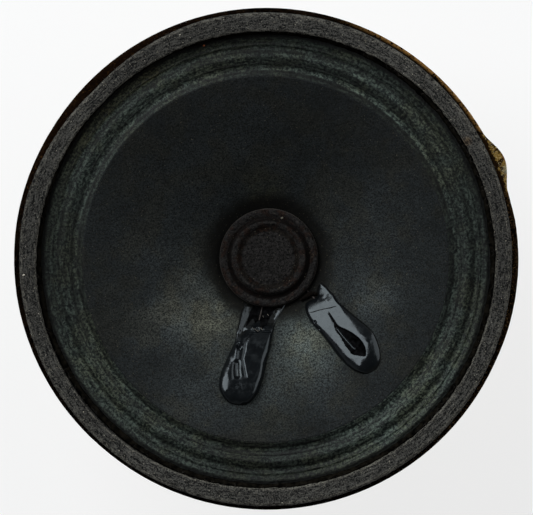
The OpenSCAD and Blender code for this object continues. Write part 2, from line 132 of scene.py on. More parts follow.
class Look:
    """One procedural material, with short calls for the nodes that it needs."""

    def __init__(self, name, **settings):
        self.material = bpy.data.materials.new(name)
        self.material.use_nodes = True
        self.tree = self.material.node_tree
        self.shader = self.tree.nodes["Principled BSDF"]
        for key, value in settings.items():
            self.shader.inputs[key.replace("_", " ")].default_value = value
        self.place = self.scale(self.node("TexCoord").outputs["Object"], (1 / MM,) * 3)
        self.x, self.y, self.z = self.node("SeparateXYZ", self.place).outputs

    def put(self, socket, value):
        put(self.tree, socket, value)

    def node(self, kind, *values, **settings):
        return add_node(self.tree, kind, *values, **settings)

    def scale(self, vector, factors):
        return self.node("VectorMath", vector, factors, operation="MULTIPLY").outputs[0]

    def math(self, operation, a, b=0.0):
        return self.node("Math", a, b, operation=operation).outputs[0]

    def times(self, a, b):
        return self.math("MULTIPLY", a, b)

    def plus(self, a, b):
        return self.math("ADD", a, b)

    def span(self, a, b):
        """Length of the vector (a, b)."""
        return self.math("SQRT", self.plus(self.times(a, a), self.times(b, b)))

    def radius(self):
        """Distance from the axis in millimetres."""
        return self.span(self.x, self.y)

    def around(self, across, along):
        """Coordinates for grain drawn out round the axis near the rim, with its two lengths there."""
        angle = self.math("ARCTAN2", self.y, self.x)
        x, y = (self.times(self.math(kind, angle), GASKET_IN / along) for kind in ("COSINE", "SINE"))
        z = self.plus(self.times(self.radius(), 1 / across), self.times(self.z, 1 / across))
        return self.node("CombineXYZ", x, y, z).outputs[0]

    def noise(self, size, detail=3.0, rough=0.6, at=None, warp=0.0):
        node = self.node("TexNoise", self.place if at is None else at)
        settings = {"Scale": 1 / size, "Detail": detail, "Roughness": rough, "Distortion": warp}
        for key, value in settings.items():
            node.inputs[key].default_value = value
        return node.outputs["Fac"]

    def cells(self, size):
        node = self.node("TexVoronoi", self.place)
        node.inputs["Scale"].default_value = 1 / size
        return node.outputs["Distance"]

    def ramp(self, value, low, high, start=0.0, end=1.0):
        """Smooth step from start, where value is low, to end, where it is high."""
        node = self.node("MapRange", value, low, high, start, end, interpolation_type="SMOOTHSTEP")
        return node.outputs[0]

    def band(self, value, low, high, soft):
        """1 from low to high, falling to 0 over soft on either side."""
        return self.times(self.ramp(value, low - soft, low), self.ramp(value, high + soft, high))

    def spot(self, x, y, inner, outer):
        """1 within inner of the line through (x, y) along the axis, falling to 0 at outer."""
        return self.ramp(self.span(self.plus(self.x, -x), self.plus(self.y, -y)), inner, outer, 1.0, 0.0)

    def toward(self, turn, reach, inner, outer):
        """spot() round the point with this direction in the picture and distance from the axis."""
        way = photo_angle(turn)
        return self.spot(reach * math.cos(way), reach * math.sin(way), inner, outer)

    def attribute(self, name):
        return self.node("Attribute", attribute_name=name).outputs["Fac"]

    def blend(self, factor, a, b, kind="MIX"):
        node = self.node("Mix", data_type="RGBA", blend_type=kind)
        for key, value in (("Factor", factor), ("A", a), ("B", b)):
            self.put(node.inputs[key], value)
        return node.outputs["Result"]

    def mix(self, value, a, b, low=0.3, high=0.7, most=1.0):
        """a where value is low, with up to the share most of b where it is high."""
        return self.blend(self.ramp(value, low, high, 0.0, most), a, b)

    def tint(self, colour, *pairs):
        """Colour multiplied by each pair's share, one number or three, where its factor is 1."""
        for factor, share in pairs:
            share = share if isinstance(share, tuple) else (share,) * 3
            colour = self.blend(factor, colour, share + (1.0,), "MULTIPLY")
        return colour

    def drift(self, colour):
        """Slow change of hue between blue and olive."""
        hue = self.noise(5.0, 3, 0.65)
        return self.tint(colour, (self.ramp(hue, 0.46, 0.58), (0.95, 0.99, 1.05)),
                         (self.ramp(hue, 0.5, 0.4), (1.06, 1.0, 0.91)))

    def speckled(self, colour, size, rough, least, share, speck):
        """Colour with scattered specks."""
        specks = self.ramp(self.noise(size, 1, rough), least, 0.78)
        return self.blend(self.times(specks, share), colour, speck)

    def finish(self, colour, rough, height, depth):
        """The material with this colour, a bump of depth millimetres and this roughness, which may be
        given as a noise with the roughness where it is low and where it is high."""
        if isinstance(rough, tuple):
            rough = self.ramp(rough[0], 0.3, 0.7, *rough[1:])
        bump = self.node("Bump")
        self.put(bump.inputs["Distance"], depth * MM)
        self.put(bump.inputs["Height"], height)
        self.put(self.shader.inputs["Base Color"], colour)
        self.put(self.shader.inputs["Roughness"], rough)
        self.put(self.shader.inputs["Normal"], bump.outputs[0])
        return self.material


def rgb(red, green, blue):
    """Linear colour from the usual 0 to 255 display values."""
    def linear(value):
        value /= 255
        return value / 12.92 if value <= 0.04045 else ((value + 0.055) / 1.055) ** 2.4
    return (linear(red), linear(green), linear(blue), 1.0)


# Painted light and shade on the cone, as lighter and darker places: place in plan, radii of the full and
# the last effect, brightness
PAPER_LIGHT_AND_SHADE = [
    (-12.0, -15.5, 1.5, 8.5, 1.42), (-1.7, -15.5, 0.5, 5.0, 1.25), (12.3, -9.0, 0.3, 4.4, 2.1),
    (3.8, -19.0, 1.0, 5.0, 1.5), (1.3, -11.7, 0.5, 4.0, 1.5), (-16.8, -4.6, 1.0, 5.5, 1.7),
    (-6.8, 15.6, 5.0, 16.0, 0.78), (3.15, -13.13, 1.0, 4.5, 1.5), (-15.96, -15.14, 1.0, 6.5, 1.35),
    (-6.25, -12.53, 1.0, 4.5, 0.8)]
# Warm places on the cone, painted light at the lower left and a browner stain at the top of the ring round
# the cap, broken up by a blotchy noise: place in plan, outer radius, range of that noise, colour
PAPER_WARM_LIGHT_AND_STAIN = [
    (-10.5, -3.0, 7.0, (0.2, 0.7, 0.5, 1.0), (2.9, 2.7, 2.4)),
    (-9.0, -8.0, 7.0, (0.2, 0.7, 0.3, 0.9), (2.05, 2.05, 1.95)),
    (2.0, 8.5, 4.5, (0.3, 0.7, 0.3, 1.0), (1.5, 1.35, 0.9))]


def paper_look():
    look = Look("pressed_paper", Specular_IOR_Level=0.15)
    radius = look.radius()
    fibre = look.noise(0.21, 2, 0.85, warp=0.3)
    cloud = look.noise(3.5, 4, 0.6)
    blotchy = look.noise(1.6, 3, 0.65)
    # Painted shade on the cone's upper part, where it faces away from the light
    top = look.times(look.spot(11.0, 13.5, 2.0, 13.0), look.ramp(cloud, 0.2, 0.6, 0.7, 1.0))
    # Painted light between and below the pools, over the shadow that they cast on the cone
    painted_light_by_pools = look.plus(look.spot(1.5, -11.5, 1.0, 8.0), look.times(look.spot(-4.5, -18.5, 1.0, 7.0), 0.4))
    smudge = look.plus(look.times(look.spot(-17.0, -8.0, 0.5, 3.4), 0.6), look.spot(-12.8, -11.2, 0.5, 3.2))
    smudge = look.times(smudge, look.ramp(blotchy, 0.3, 0.6, 0.4, 1.0))
    # Dark ring round the cap: painted shade under the cap's edge, together with glue soaked into the paper
    glue_stain_and_shade = look.ramp(look.plus(radius, look.times(blotchy, 1.6)), 8.3, 10.5, 1.0, 0.0)
    colour = look.drift(look.mix(fibre, rgb(8, 10, 10), rgb(50, 54, 53), 0.36, 0.64))
    colour = look.tint(
        colour, (look.ramp(cloud, 0.35, 0.7), 0.72), (look.ramp(radius, 13.5, 23.5), 0.62),
        *((look.spot(x, y, inner, outer), share) for x, y, inner, outer, share in PAPER_LIGHT_AND_SHADE),
        *((look.times(look.spot(x, y, 0.5, outer), look.ramp(blotchy, *blotchy_range)), share)
          for x, y, outer, blotchy_range, share in PAPER_WARM_LIGHT_AND_STAIN),
        (top, 0.55), (painted_light_by_pools, (2.1, 2.1, 1.95)), (smudge, 0.66), (glue_stain_and_shade, (0.09, 0.08, 0.05)))
    colour = look.speckled(colour, 0.16, 0.5, 0.7, 0.5, rgb(110, 104, 88))
    grain = look.plus(fibre, look.times(look.noise(0.8, 2, 0.6), 0.5))
    return look.finish(colour, (fibre, 0.7, 0.95), grain, 0.1)


# Painted light and shade on the surround, by direction in the picture
SURROUND_LIGHT_AND_SHADE = ((86, 0.67), (45, 0.95), (0, 0.62), (272, 0.53), (182, 0.53), (104, 0.82), (150, 0.8),
                  (312, 1.38), (240, 0.88))
# Thin painted highlights and shade lines along the surround's pressed waves: radius and brightness
RING_LINE_LIGHT_AND_SHADE = ((24.65, 0.5), (25.0, 1.4), (25.7, 0.48), (26.9, 1.3), (27.3, 0.5), (27.8, 1.25))
# Broader painted light and shade on the waves toward the picture's upper right: radii and brightness
BROAD_RING_LIGHT_AND_SHADE = ((23.5, 24.75, 0.5), (24.95, 25.4, 1.2), (25.75, 26.4, 0.55), (26.75, 27.45, 1.2),
               (27.7, 27.85, 0.5))


def surround_look():
    look = Look("doped_paper", Specular_IOR_Level=0.14)
    radius = look.radius()
    fibre = look.noise(0.32, 2, 0.8, warp=0.3)
    drawn = look.noise(1.0, 3, 0.65, look.around(0.3, 2.2))
    patchy = look.ramp(look.noise(4.0, 2, 0.5), 0.35, 0.55, 0.45, 1.0)
    upper_right = look.toward(48, 25, 8.0, 18.0)
    shade = look.times(look.toward(35, 28.6, 6.0, 18.0), look.ramp(radius, 27.8, 28.5))
    brown = look.times(look.toward(135, 28.6, 5.0, 20.0), look.ramp(radius, 27.7, 28.1))
    colour = look.drift(look.mix(fibre, rgb(20, 25, 23), rgb(70, 78, 69), 0.42, 0.6))
    colour = look.tint(
        colour, (look.ramp(drawn, 0.4, 0.62), 0.42),
        *((look.toward(turn, 27, 3.0, 15.0), share) for turn, share in SURROUND_LIGHT_AND_SHADE),
        *((look.times(upper_right, look.band(radius, inner, outer, 0.25)), share)
          for inner, outer, share in BROAD_RING_LIGHT_AND_SHADE),
        # Thin lines of painted highlight and shade, broken up in patches
        *((look.times(patchy, look.band(radius, ring - 0.04, ring + 0.04, 0.2)), share)
          for ring, share in RING_LINE_LIGHT_AND_SHADE),
        # Outwards of radius 28.8: painted shade of the gap under the gasket's inner edge
        (shade, 0.62), (brown, (1.12, 0.95, 0.74)), (look.ramp(radius, 28.8, 29.3), 0.12),
        (look.ramp(radius, 24.4, 25.0, 1.0, 0.0), 0.74))
    grain = look.plus(fibre, look.times(drawn, 0.8))
    return look.finish(colour, (fibre, 0.42, 0.7), grain, 0.09)


# Painted light and shade on the gasket, by direction in the picture
FELT_LIGHT_AND_SHADE = ((290, 1.22), (48, 1.12), (115, 0.78), (0, 0.85), (180, 0.82), (248, 1.16), (332, 1.2))


def felt_look():
    look = Look("gasket_felt", Specular_IOR_Level=0.12)
    dark = rgb(5, 5, 6)
    fibre = look.noise(0.2, 2, 0.85, warp=0.5)
    drawn = look.noise(1.0, 3, 0.8, look.around(0.24, 1.2))
    cloud = look.noise(2.2, 3, 0.6)
    mixed = look.plus(look.times(fibre, 0.55), look.times(drawn, 0.45))
    colour = look.mix(mixed, dark, rgb(78, 77, 73), 0.42, 0.59)
    colour = look.mix(cloud, colour, dark, 0.35, 0.7, 0.16)
    # The lip mark lightens the rounded edges of the top: a painted highlight
    colour = look.tint(colour, (look.attribute("lip"), (1.75, 1.7, 1.6)),
                       *((look.toward(turn, 31, 4.0, 17.0), share) for turn, share in FELT_LIGHT_AND_SHADE),
                       (look.spot(29.75, 7.35, 0.2, 0.85), (1.35, 1.0, 0.72)))
    colour = look.speckled(colour, 0.22, 0.4, 0.72, 0.7, rgb(186, 180, 164))
    return look.finish(colour, (fibre, 0.8, 1.0), mixed, 0.22)


def cap_look():
    look = Look("cap_felt", Specular_IOR_Level=0.1)
    radius = look.radius()
    fibre = look.noise(0.3, 4, 0.85, warp=0.5)
    cloud = look.noise(1.1, 3, 0.6)
    colour = look.mix(fibre, rgb(4, 4, 4), rgb(49, 47, 46), 0.38, 0.62)
    brown = look.times(look.ramp(radius, 3.4, 3.7), look.ramp(cloud, 0.5, 0.62, 0.0, 0.9))
    # Painted shade: dark rings on the dish's wall and in the step between crown and flange
    colour = look.tint(colour, (look.band(radius, 3.65, 4.05, 0.25), (0.5, 0.44, 0.38)),
                       (look.band(radius, 5.05, 5.45, 0.2), (0.22, 0.17, 0.15)),
                       (brown, (1.35, 0.85, 0.66)), (look.ramp(cloud, 0.4, 0.6), 0.7))
    colour = look.speckled(colour, 0.2, 0.4, 0.7, 0.55, rgb(112, 106, 92))
    return look.finish(colour, (fibre, 0.85, 1.0), fibre, 0.25)


def adhesive_look():
    look = Look("black_adhesive", IOR=1.5, Specular_IOR_Level=0.34, Specular_Tint=(0.84, 0.95, 1.0, 1.0))
    murk = look.noise(0.9, 3, 0.6)
    thin = look.blend(look.noise(0.3, 3, 0.8), rgb(5, 5, 5), rgb(20, 20, 18))
    colour = look.mix(look.attribute("thickness"), thin, rgb(9, 11, 13), 0.1, 0.5)
    colour = look.speckled(colour, 0.14, 0.5, 0.7, 0.3, rgb(70, 72, 72))
    wave = look.plus(look.noise(1.1, 1, 0.4), look.times(look.noise(0.35, 2, 0.6), 0.16))
    return look.finish(colour, look.ramp(murk, 0.35, 0.7, 0.12, 0.27), wave, 0.05)


def bead_look(name, dark, light, rough=0.35, shine=0.5):
    look = Look(name, IOR=1.48, Specular_IOR_Level=shine)
    murk = look.noise(0.6, 4, 0.6)
    colour = look.mix(murk, dark, light)
    return look.finish(colour, (murk, rough, rough + 0.25), look.noise(0.25, 3, 0.6), 0.06)


def plating_look():
    """Yellow plating, black on the rim as painted shade and dark reflection, with worn and rusty places,
    and burnt on the ear with a painted glint.
    """
    look = Look("yellow_plating", Specular_IOR_Level=0.0)
    radius = look.radius()
    cloud = look.noise(2.6, 4, 0.65, warp=0.6)
    tint = look.noise(1.3, 3, 0.6, warp=1.2)
    fine = look.noise(0.18, 4, 0.7)
    blotch = look.noise(0.55, 3, 0.7, warp=0.8)
    scab = look.noise(0.8, 3, 0.7, warp=0.8)

    gold = look.mix(cloud, rgb(205, 186, 132), rgb(226, 204, 158), 0.35, 0.65)
    gold = look.mix(tint, gold, rgb(150, 190, 150), 0.52, 0.72, 0.55)
    gold = look.mix(tint, gold, rgb(214, 150, 150), 0.46, 0.28, 0.5)
    gold = look.mix(fine, gold, rgb(120, 96, 58), 0.55, 0.75, 0.5)

    burnt = look.mix(scab, rgb(66, 40, 14), rgb(205, 165, 84), 0.45, 0.55)
    burnt = look.mix(fine, burnt, rgb(250, 236, 190), 0.56, 0.64)
    soot = look.ramp(look.plus(radius, blotch), 33.55, 33.25)
    burnt = look.blend(soot, burnt, rgb(30, 19, 9))
    crust = look.times(look.ramp(radius, 33.7, 34.1), look.ramp(look.y, 2.8, 4.0))
    burnt = look.blend(look.times(crust, look.ramp(blotch, 0.75, 0.45)), burnt, rgb(158, 84, 50))
    # A near-white spot on the ear: a painted glint
    burnt = look.blend(look.times(look.spot(33.9, 2.3, 0.2, 1.0), 0.85), burnt, rgb(252, 244, 206))
    near = look.spot(32.4, 6.8, 8.0, 9.0)
    gold = look.blend(near, gold, burnt)

    # Black of the rim, which is painted shade and dark reflection, with lighter and rusty patches
    black = look.mix(cloud, rgb(1, 1, 1), rgb(12, 8, 5), 0.4, 0.7)
    side = look.plus(look.times(look.toward(-8, RIM_R, 12.0, 34.0), 0.85), 0.15)
    patchy = look.times(look.toward(42, RIM_R, 8.0, 19.0), look.ramp(radius, 32.4, 32.9))
    rust = look.toward(138, RIM_R, 8.0, 22.0)
    for area, spread, patches in (
            (side, (blotch, 0.52, 0.6, 0.0, 0.8), (42, 29, 18)),
            (side, (fine, 0.58, 0.66, 0.0, 0.9), (132, 104, 70)),
            (patchy, (blotch, 0.42, 0.5), (112, 82, 44)), (rust, (fine, 0.42, 0.6, 0.2, 0.9), (25, 15, 8)),
            (rust, (blotch, 0.6, 0.68, 0.0, 0.6), (70, 48, 26))):
        black = look.blend(look.times(area, look.ramp(*spread)), black, rgb(*patches))

    ear = look.times(look.spot(33.3, 3.8, 3.8, 4.6), look.ramp(radius, 32.3, 32.6))
    beside = look.times(look.spot(31.3, 10.0, 3.0, 5.0), look.ramp(radius, 32.85, 33.0))
    bare = look.math("MAXIMUM", ear, beside)
    rim = look.times(look.ramp(radius, 29.6, 31.6), look.ramp(look.z, 26.2, 26.8))
    dark = look.times(rim, look.plus(look.times(bare, -1.0), 1.0))
    colour = look.blend(dark, gold, black)
    dull = look.math("MAXIMUM", dark, look.times(near, look.times(soot, 0.85)))
    rough = look.plus(look.ramp(fine, 0.3, 0.7, 0.24, 0.42), look.times(dull, 0.45))
    look.put(look.shader.inputs["Metallic"], look.plus(look.times(dull, -1.0), 1.0))
    return look.finish(colour, rough, look.plus(fine, cloud), 0.03)


def steel_look(name, dark, light, brushed=0.0):
    look = Look(name, Metallic=1.0)
    cloud = look.noise(2.0, 4, 0.65, warp=0.5)
    fine = look.noise(0.15, 4, 0.7)
    streak = look.noise(1.0, 3, 0.6, look.scale(look.place, (0.35, 5.0, 5.0)))
    colour = look.mix(cloud, dark, light)
    colour = look.mix(fine, colour, dark, 0.6, 0.8, 0.6)
    height = look.plus(fine, look.times(streak, brushed))
    return look.finish(colour, (cloud, 0.28, 0.48), height, 0.03)


def magnet_look():
    look = Look("magnet_alloy", Metallic=0.85)
    grit = look.noise(0.3, 5, 0.75)
    pits = look.ramp(look.cells(0.55), 0.12, 0.3)
    cloud = look.noise(1.8, 3, 0.6)
    colour = look.mix(cloud, rgb(82, 80, 78), rgb(118, 115, 110))
    colour = look.mix(pits, colour, rgb(44, 40, 37), 0.5, 0.0, 0.7)
    return look.finish(colour, (grit, 0.45, 0.7), look.plus(grit, pits), 0.06)


def board_look():
    look = Look("laminated_board", Specular_IOR_Level=0.4)
    mottle = look.noise(0.45, 5, 0.7)
    layers = look.noise(1.0, 2, 0.5, look.scale(look.place, (0.4, 0.4, 11.0)))
    side = look.ramp(look.math("ABSOLUTE", look.plus(look.z, -17.0)), 0.47, 0.49)
    colour = look.mix(mottle, rgb(96, 58, 30), rgb(128, 82, 44), 0.35, 0.65)
    edge = look.mix(layers, rgb(74, 44, 22), rgb(140, 98, 58), 0.4, 0.6)
    colour = look.blend(side, edge, colour)
    return look.finish(colour, (mottle, 0.38, 0.6), look.plus(mottle, layers), 0.03)


def cloth_look():
    look = Look("resin_cloth", Specular_IOR_Level=0.35)
    warp = look.math("SINE", look.times(look.x, 2 * math.pi / 0.42))
    weft = look.math("SINE", look.times(look.y, 2 * math.pi / 0.42))
    weave = look.math("MAXIMUM", warp, weft)
    both = look.times(warp, weft)
    cloud = look.noise(1.6, 4, 0.6)
    colour = look.mix(cloud, rgb(112, 66, 30), rgb(150, 98, 52))
    colour = look.mix(weave, colour, rgb(58, 32, 14), 0.6, -0.6, 0.8)
    colour = look.mix(both, colour, rgb(178, 128, 76), 0.3, 1.0, 0.3)
    return look.finish(colour, (cloud, 0.45, 0.65), weave, 0.05)


def former_look():
    look = Look("former_paper", Specular_IOR_Level=0.3)
    fibre = look.noise(0.3, 5, 0.7)
    colour = look.mix(fibre, rgb(138, 104, 66), rgb(176, 140, 96))
    return look.finish(colour, (fibre, 0.6, 0.8), fibre, 0.03)


def wire_look(name, dark, light, rough):
    look = Look(name, Metallic=1.0)
    cloud = look.noise(0.5, 3, 0.6)
    fine = look.noise(0.06, 2, 0.6)
    colour = look.mix(cloud, dark, light)
    return look.finish(colour, (fine, rough, rough + 0.15), fine, 0.01)


def fibre_look(name, dark, light):
    look = Look(name, Specular_IOR_Level=0.2)
    tone = look.noise(0.8, 2, 0.5)
    colour = look.mix(tone, dark, light, 0.35, 0.65)
    return look.finish(colour, (tone, 0.7, 0.9), look.noise(0.05, 2, 0.5), 0.01)


# ---------------------------------------------------------------- mesh helpers

def mesh_piece(name, points, faces, material):
    """New smooth-shaded piece from points in millimetres."""
    mesh = bpy.data.meshes.new(name)
    mesh.from_pydata([tuple(p) for p in (np.asarray(points, float) * MM)], [], faces)
    work = bmesh.new()
    work.from_mesh(mesh)
    bmesh.ops.remove_doubles(work, verts=work.verts, dist=1e-4 * MM)
    bmesh.ops.recalc_face_normals(work, faces=work.faces)
    work.to_mesh(mesh)
    work.free()
    mesh.shade_smooth()
    mesh.materials.append(material)
    piece = bpy.data.objects.new(name, mesh)
    bpy.context.scene.collection.objects.link(piece)
    return piece


def revolved(name, section, material, steps, shift=None):
    """Solid of revolution from a closed section of (radius, height); shift gives each point's move."""
    radius, height = (np.array([p[i] for p in section], float)[:, None] for i in (0, 1))
    angle = np.linspace(0, 2 * math.pi, steps, endpoint=False)[None, :]
    radius, height = radius + 0 * angle, height + 0 * angle
    if shift is not None:
        move = shift(radius, height, angle + 0 * radius)
        radius, height = radius + move[0], height + move[1]
    points = np.stack([radius * np.cos(angle), radius * np.sin(angle), height], axis=-1).reshape(-1, 3)
    rows = len(section)
    faces = []
    for i in range(rows):
        a, b = i * steps, (i + 1) % rows * steps
        for k in range(steps):
            n = (k + 1) % steps
            faces.append((a + k, b + k, b + n, a + n))
    return mesh_piece(name, points, faces, material)


def mark(piece, name, values):
    """Stores one number per point for the material."""
    layer = piece.data.attributes.new(name, "FLOAT", "POINT")
    layer.data.foreach_set("value", values.astype(np.float32))


def settle(piece, body, slot_name, *nodes):
    """Says which body carries the piece and which CAD nodes it replaces; slot_name, whose finish the piece
    takes, is not used.
    """
    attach(piece, body)
    if nodes:
        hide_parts(*nodes)


def smooth_path(points, per_span):
    """Catmull-Rom curve through points, with per_span steps between two of them."""
    p = np.asarray(points, float)
    p = np.vstack([2 * p[0] - p[1], p, 2 * p[-1] - p[-2]])
    out = []
    for i in range(1, len(p) - 2):
        for t in np.linspace(0, 1, per_span, endpoint=False):
            out.append(0.5 * (2 * p[i] + (p[i + 1] - p[i - 1]) * t
                              + (2 * p[i - 1] - 5 * p[i] + 4 * p[i + 1] - p[i + 2]) * t ** 2
                              + (3 * p[i] - p[i - 1] - 3 * p[i + 1] + p[i + 2]) * t ** 3))
    out.append(p[-2])
    return np.array(out)


def frames_along(path):
    """Unit tangent and two steady normals at each point of the path."""
    tangent = np.gradient(path, axis=0)
    tangent /= np.linalg.norm(tangent, axis=1)[:, None]
    first = np.cross(tangent[0], (1, 0, 0) if abs(tangent[0][0]) < 0.8 else (0, 1, 0))
    side = [first / np.linalg.norm(first)]
    for t in tangent[1:]:
        s = side[-1] - t * np.dot(side[-1], t)
        side.append(s / np.linalg.norm(s))
    side = np.array(side)
    return tangent, side, np.cross(tangent, side)


def tube_parts(path, radius, sides, start):
    """Points and faces of a closed tube along path; radius is a number or one number per point."""
    path = np.asarray(path, float)
    radius = np.broadcast_to(np.asarray(radius, float), (len(path),))
    _, side, up = frames_along(path)
    turn = np.linspace(0, 2 * math.pi, sides, endpoint=False)
    ring = (side[:, None] * np.cos(turn)[None, :, None] + up[:, None] * np.sin(turn)[None, :, None])
    points = (path[:, None] + ring * radius[:, None, None]).reshape(-1, 3)
    faces = []
    for i in range(len(path) - 1):
        for k in range(sides):
            n = (k + 1) % sides
            a, b = start + i * sides, start + (i + 1) * sides
            faces.append((a + k, a + n, b + n, b + k))
    last = start + (len(path) - 1) * sides
    faces.append(tuple(range(start + sides - 1, start - 1, -1)))
    faces.append(tuple(range(last, last + sides)))
    return points, faces


def tubes_piece(name, paths, radius, sides, material):
    """One piece made of several tubes."""
    points, faces = [], []
    for path in paths:
        p, f = tube_parts(path, radius, sides, sum(len(q) for q in points))
        points.append(p)
        faces.extend(f)
    return mesh_piece(name, np.vstack(points), faces, material)


def strands(path, count, pitch, spread):
    """Paths of count strands twisted round path."""
    length = np.concatenate([[0], np.cumsum(np.linalg.norm(np.diff(path, axis=0), axis=1))])
    _, side, up = frames_along(path)
    out = []
    for k in range(count):
        turn = 2 * math.pi * (length / pitch + k / count)
        out.append(path + spread * (side * np.cos(turn)[:, None] + up * np.sin(turn)[:, None]))
    return out


def field(points, size, seed):
    """Smooth noise of about -1 to 1 at each point, with features of the given size."""
    offset = Vector((seed * 7.3, seed * 3.1, seed * 1.7))
    flat = np.asarray(points, float).reshape(-1, 3)
    values = [noise.noise(Vector(p) / size + offset) for p in flat]
    return np.array(values).reshape(np.asarray(points).shape[:-1])


def ring_field(radius, angle, height, size, seed):
    """The same at points given by radius, angle and height."""
    return field(np.stack([radius * np.cos(angle), radius * np.sin(angle), height], -1), size, seed)


def bend_radially(piece):
    """Bakes the piece's transform and reads its points, which are not used further."""
    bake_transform(piece)
    count = len(piece.data.vertices)
    place = np.zeros(count * 3)
    piece.data.vertices.foreach_get("co", place)
    place = place.reshape(-1, 3)


# ---------------------------------------------------------------- moving pieces

def cone_z(radius):
    """Height of the cone's front."""
    s = (np.asarray(radius, float) - NECK_R) / (EDGE_R - NECK_R)
    return NECK_Z + CONE_DEPTH * ((1 + FLARE) * s - FLARE * s * s)


def plan_point(radius, degrees):
    angle = math.radians(degrees)
    return Vector((radius * math.cos(angle), radius * math.sin(angle)))


def pool_axis(inner, outer):
    """Where a lead passes through the cone under a pool, and its direction on the cone's front."""
    way = (inner - outer).normalized()
    return outer + way * 1.4, way


# Side of each pool and its lead's axis, from the pool's ends
POOLS = {"left": (-1, pool_axis(plan_point(7.2, 247), plan_point(17.1, 241.75))),
         "right": (1, pool_axis(plan_point(8, 304), plan_point(17.6, 298.25)))}


def on_cone(point, lift):
    """Point in space at a height over the cone's front, from its place in plan."""
    return [point[0], point[1], float(cone_z(math.hypot(point[0], point[1]))) + lift]


def make_cone(material):
    radii = np.linspace(NECK_R, EDGE_R, 96)
    top = [(r, float(cone_z(r))) for r in radii]
    bottom = [(r, z - PAPER_T) for r, z in reversed(top)]

    def uneven(radius, height, angle):
        fade = np.clip((EDGE_R - radius) / 1.5, 0, 1) * np.clip((radius - CAP_R) / 2, 0, 1)
        wave = 0.035 * ring_field(radius, angle, 0 * radius, 5.0, 1)
        wave += 0.012 * ring_field(radius, angle, 0 * radius, 1.3, 2)
        return 0 * radius, wave * fade
    cone = revolved("paper_cone", top + bottom, material, 288, uneven)
    for side, (_, (hole, _)) in POOLS.items():
        bpy.ops.mesh.primitive_cylinder_add(vertices=40, radius=0.5 * MM, depth=6 * MM,
                                            location=(hole.x * MM, hole.y * MM, 25 * MM))
        cutter = bpy.context.object
        change = cone.modifiers.new("hole_" + side, "BOOLEAN")
        change.object = cutter
        change.solver = "EXACT"
        bpy.context.view_layer.update()
        shape = bpy.data.meshes.new_from_object(cone.evaluated_get(bpy.context.evaluated_depsgraph_get()))
        cone.modifiers.clear()
        cone.data = shape
        bpy.data.objects.remove(cutter)
    settle(cone, "cone_assembly", "cone", "cone")


# Radius and drop below the cone's edge of the surround's upper side: two waves with a step in each flank
WAVES = [
    (24.1, 0), (24.2, 0.02), (24.44, 0.16), (24.58, 0.19), (24.88, 0.36), (25.05, 0.4), (25.3, 0.4),
    (25.44, 0.37), (25.7, 0.22), (25.86, 0.21), (26.12, 0.09), (26.4, 0.0), (26.62, -0.04),
    (26.78, -0.02), (27.06, 0.14), (27.24, 0.2), (27.52, 0.33), (27.66, 0.37), (27.82, 0.37),
    (27.94, 0.33), (28.16, 0.15), (28.44, 0.22), (28.64, 0.15), (28.95, 0.0), (29.15, -0.02), (29.3, 0)]


def surround_top(radius):
    return PAPER_TOP - float(np.interp(radius, *zip(*WAVES)))


def by_turn(angle, turns, values):
    """Value at an angle about the axis, from values at directions in the picture."""
    return np.interp(np.degrees(angle) + math.degrees(TURN), turns, values, period=360)


def cut_back(angle):
    """How far the gasket and the paper under it fall short of their full radius."""
    return by_turn(angle, (0, 105, 135, 165, 200), (0, 0, -0.78, 0, 0))


def make_surround(material):
    top = [(r, surround_top(r)) for r in np.linspace(EDGE_R, MOUTH_R, 131)]
    top += [(r, PAPER_TOP) for r in (30.2, 31.2, SURROUND_OUT)]
    bottom = [(r, surround_top(r) - PAPER_T) for r in np.linspace(MOUTH_R, EDGE_R, 42)]
    bottom.insert(0, (SURROUND_OUT, PAPER_TOP - PAPER_T))

    def uneven(radius, height, angle):
        fade = np.clip((radius - EDGE_R) / 0.8, 0, 1) * np.clip((29.8 - radius) / 0.8, 0, 1)
        wave = 0.03 * ring_field(radius, angle, 0 * radius, 3.0, 3)
        return cut_back(angle) * np.clip((radius - 31.2) / 0.9, 0, 1), wave * fade
    piece = revolved("corrugated_surround", top + bottom, material, 360, uneven)
    bend_radially(piece)
    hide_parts("surround")


# Radius and height above CAP_Z round the dust cap's section
CAP_SECTION = [
    (0, 0.88), (1.2, 0.88), (2.4, 0.86), (3.2, 0.82), (3.5, 0.72), (3.75, 0.66), (4.0, 0.78), (4.2, 1.0),
    (4.4, 1.14), (4.6, 1.16), (4.8, 1.1), (5.0, 0.92), (5.15, 0.6), (5.3, 0.38), (5.46, 0.34),
    (5.68, 0.5), (6.0, 0.62), (6.3, 0.62), (6.45, 0.55), (6.52, 0.35), (6.5, 0.1), (6.42, 0), (4.6, 0),
    (4.55, 0.3), (0, 0.35)]


def make_cap(material):
    z = CAP_Z
    section = [(r, z + h) for r, h in CAP_SECTION]
    fine = [section[0]]
    for a, b in zip(section, section[1:]):
        n = max(1, int(math.hypot(b[0] - a[0], b[1] - a[1]) / 0.14)) if min(a[1], b[1]) > z + 0.3 else 1
        fine += [(a[0] + (b[0] - a[0]) * i / n, a[1] + (b[1] - a[1]) * i / n) for i in range(1, n + 1)]

    def rough(radius, height, angle):
        upper = np.clip((height - z - 0.3) / 0.1, 0, 1) * np.clip(radius / 0.3, 0, 1)
        nap = 0.035 * ring_field(radius, angle, height, 0.3, 4)
        nap += 0.03 * ring_field(radius, angle, height, 0.8, 5)
        lean = 0.3 * np.cos(angle - photo_angle(55))
        lean = lean * np.clip((5.9 - radius) / 0.6, 0, 1) * np.clip(radius / 2, 0, 1)
        return (nap * 0.6 * np.clip((radius - 4.5) / 0.5, 0, 1) + lean) * upper, nap * upper
    piece = revolved("felt_dust_cap", fine, material, 240, rough)
    settle(piece, "cone_assembly", "dust_cap", "dust_cap")


